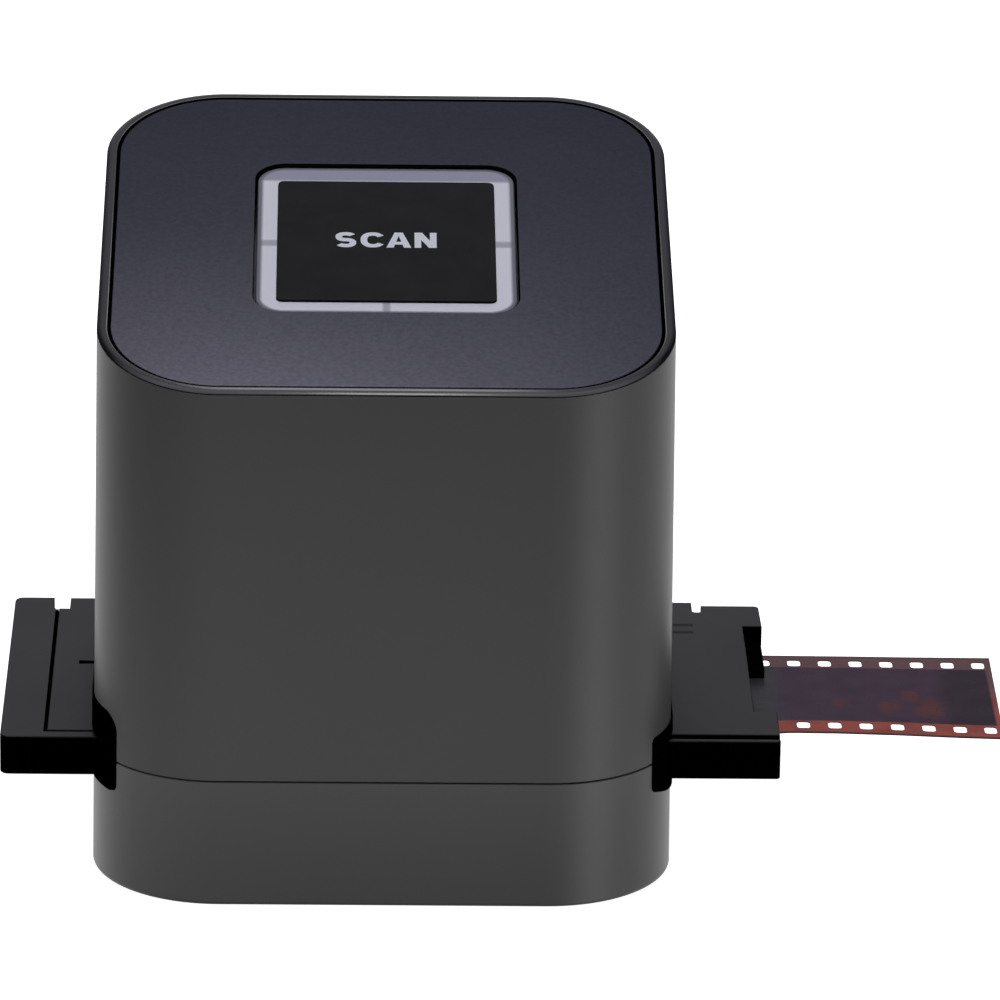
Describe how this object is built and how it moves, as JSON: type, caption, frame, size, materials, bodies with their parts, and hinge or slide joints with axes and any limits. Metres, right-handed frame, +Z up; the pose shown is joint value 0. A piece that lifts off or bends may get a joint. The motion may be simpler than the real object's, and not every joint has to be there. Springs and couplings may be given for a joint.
{
  "type": "film negative scanner",
  "caption": "Compact upright film negative scanner: tapered grey tower with a sloping top and large push button, and a film holder that slides through slots in its sides.",
  "frame": {"origin": "centre of the underside of the anti-slip mat, on the surface that the scanner rests on", "axes": "+X to the right along the film's path, +Y to the rear, where the data socket is, +Z up"},
  "size_m": [0.1512, 0.088, 0.1001],
  "materials": {
    "housing_grey": "satin grey moulded plastic",
    "rim_black": "polished black",
    "panel_black": "fine texture, blue-black",
    "black_plastic": "fine matte",
    "holder_black": "fine matte",
    "clear_frame": "milky clear acrylic",
    "button_black": "satin",
    "mat_rubber": "soft, ribbed",
    "screw_steel": "zinc plated",
    "spring_steel": "bright",
    "board_green": "solder mask",
    "chip_black": "moulded package",
    "led_white": "white package",
    "reflector_white": "white",
    "opal": "opal acrylic",
    "lens_glass": "coated glass",
    "barrel_black": "black anodised",
    "socket_steel": "nickel plated shell",
    "felt": "black flocked",
    "ribbon_white": "flat cable",
    "film_base": "developed film"
  },
  "bodies": {
    "scanner": {"base_housing": "housing_grey", "upper_housing": "housing_grey", "top_rim": "rim_black", "top_bezel": "black_plastic", "top_panel": "panel_black", "antislip_mat": "mat_rubber", "base_screws": "screw_steel", "bezel_screws": "screw_steel", "left_mouth_frame": "black_plastic", "right_mouth_frame": "black_plastic", "lower_film_gate": "black_plastic", "upper_film_gate": "black_plastic", "gate_screws": "screw_steel", "light_seals": "felt", "detent_springs": "spring_steel", "backlight_board": "board_green", "backlight_screws": "screw_steel", "backlight_leds": "led_white", "light_box": "reflector_white", "diffuser": "opal", "optical_chassis": "black_plastic", "chassis_screws": "screw_steel", "lens_barrel": "barrel_black", "front_lens": "lens_glass", "aperture_ring": "barrel_black", "middle_lens": "lens_glass", "lens_spacer": "barrel_black", "rear_lens": "lens_glass", "lens_retaining_ring": "barrel_black", "main_board": "board_green", "main_board_screws": "screw_steel", "image_sensor": "chip_black", "sensor_filter": "lens_glass", "board_chips": "chip_black", "usb_socket": "socket_steel", "usb_tongue": "chip_black", "ribbon_connectors": "led_white", "backlight_ribbon": "ribbon_white", "button_ribbon": "ribbon_white", "button_board_connector": "led_white", "button_board": "board_green", "tact_switch": "chip_black", "button_leds": "led_white", "button_board_screws": "screw_steel"},
    "button": {"button_frame": "clear_frame", "button_plate": "button_black", "switch_stem": "chip_black"},
    "holder": {"holder_tray": "holder_black", "holder_cover": "holder_black", "hinge_pins": "screw_steel", "catch_magnets": "socket_steel", "film_brake_pad": "felt"},
    "film": {"film_strip": "film_base"}
  },
  "joints": [
    {"name": "button_press", "type": "slide", "parent": "scanner", "child": "button", "axis": [0, 0.2233, -0.9748], "range_m": [0, 0.0008], "stiffness_N_per_m": 1200, "springref_m": -0.001},
    {"name": "holder_slide", "type": "slide", "parent": "scanner", "child": "holder", "axis": [1, 0, 0], "range_m": [-0.096, 0.096], "deforming": ["detent_springs"]},
    {"name": "film_slide", "type": "slide", "parent": "holder", "child": "film", "axis": [1, 0, 0], "range_m": [-0.114, 0.076]}
  ]
}
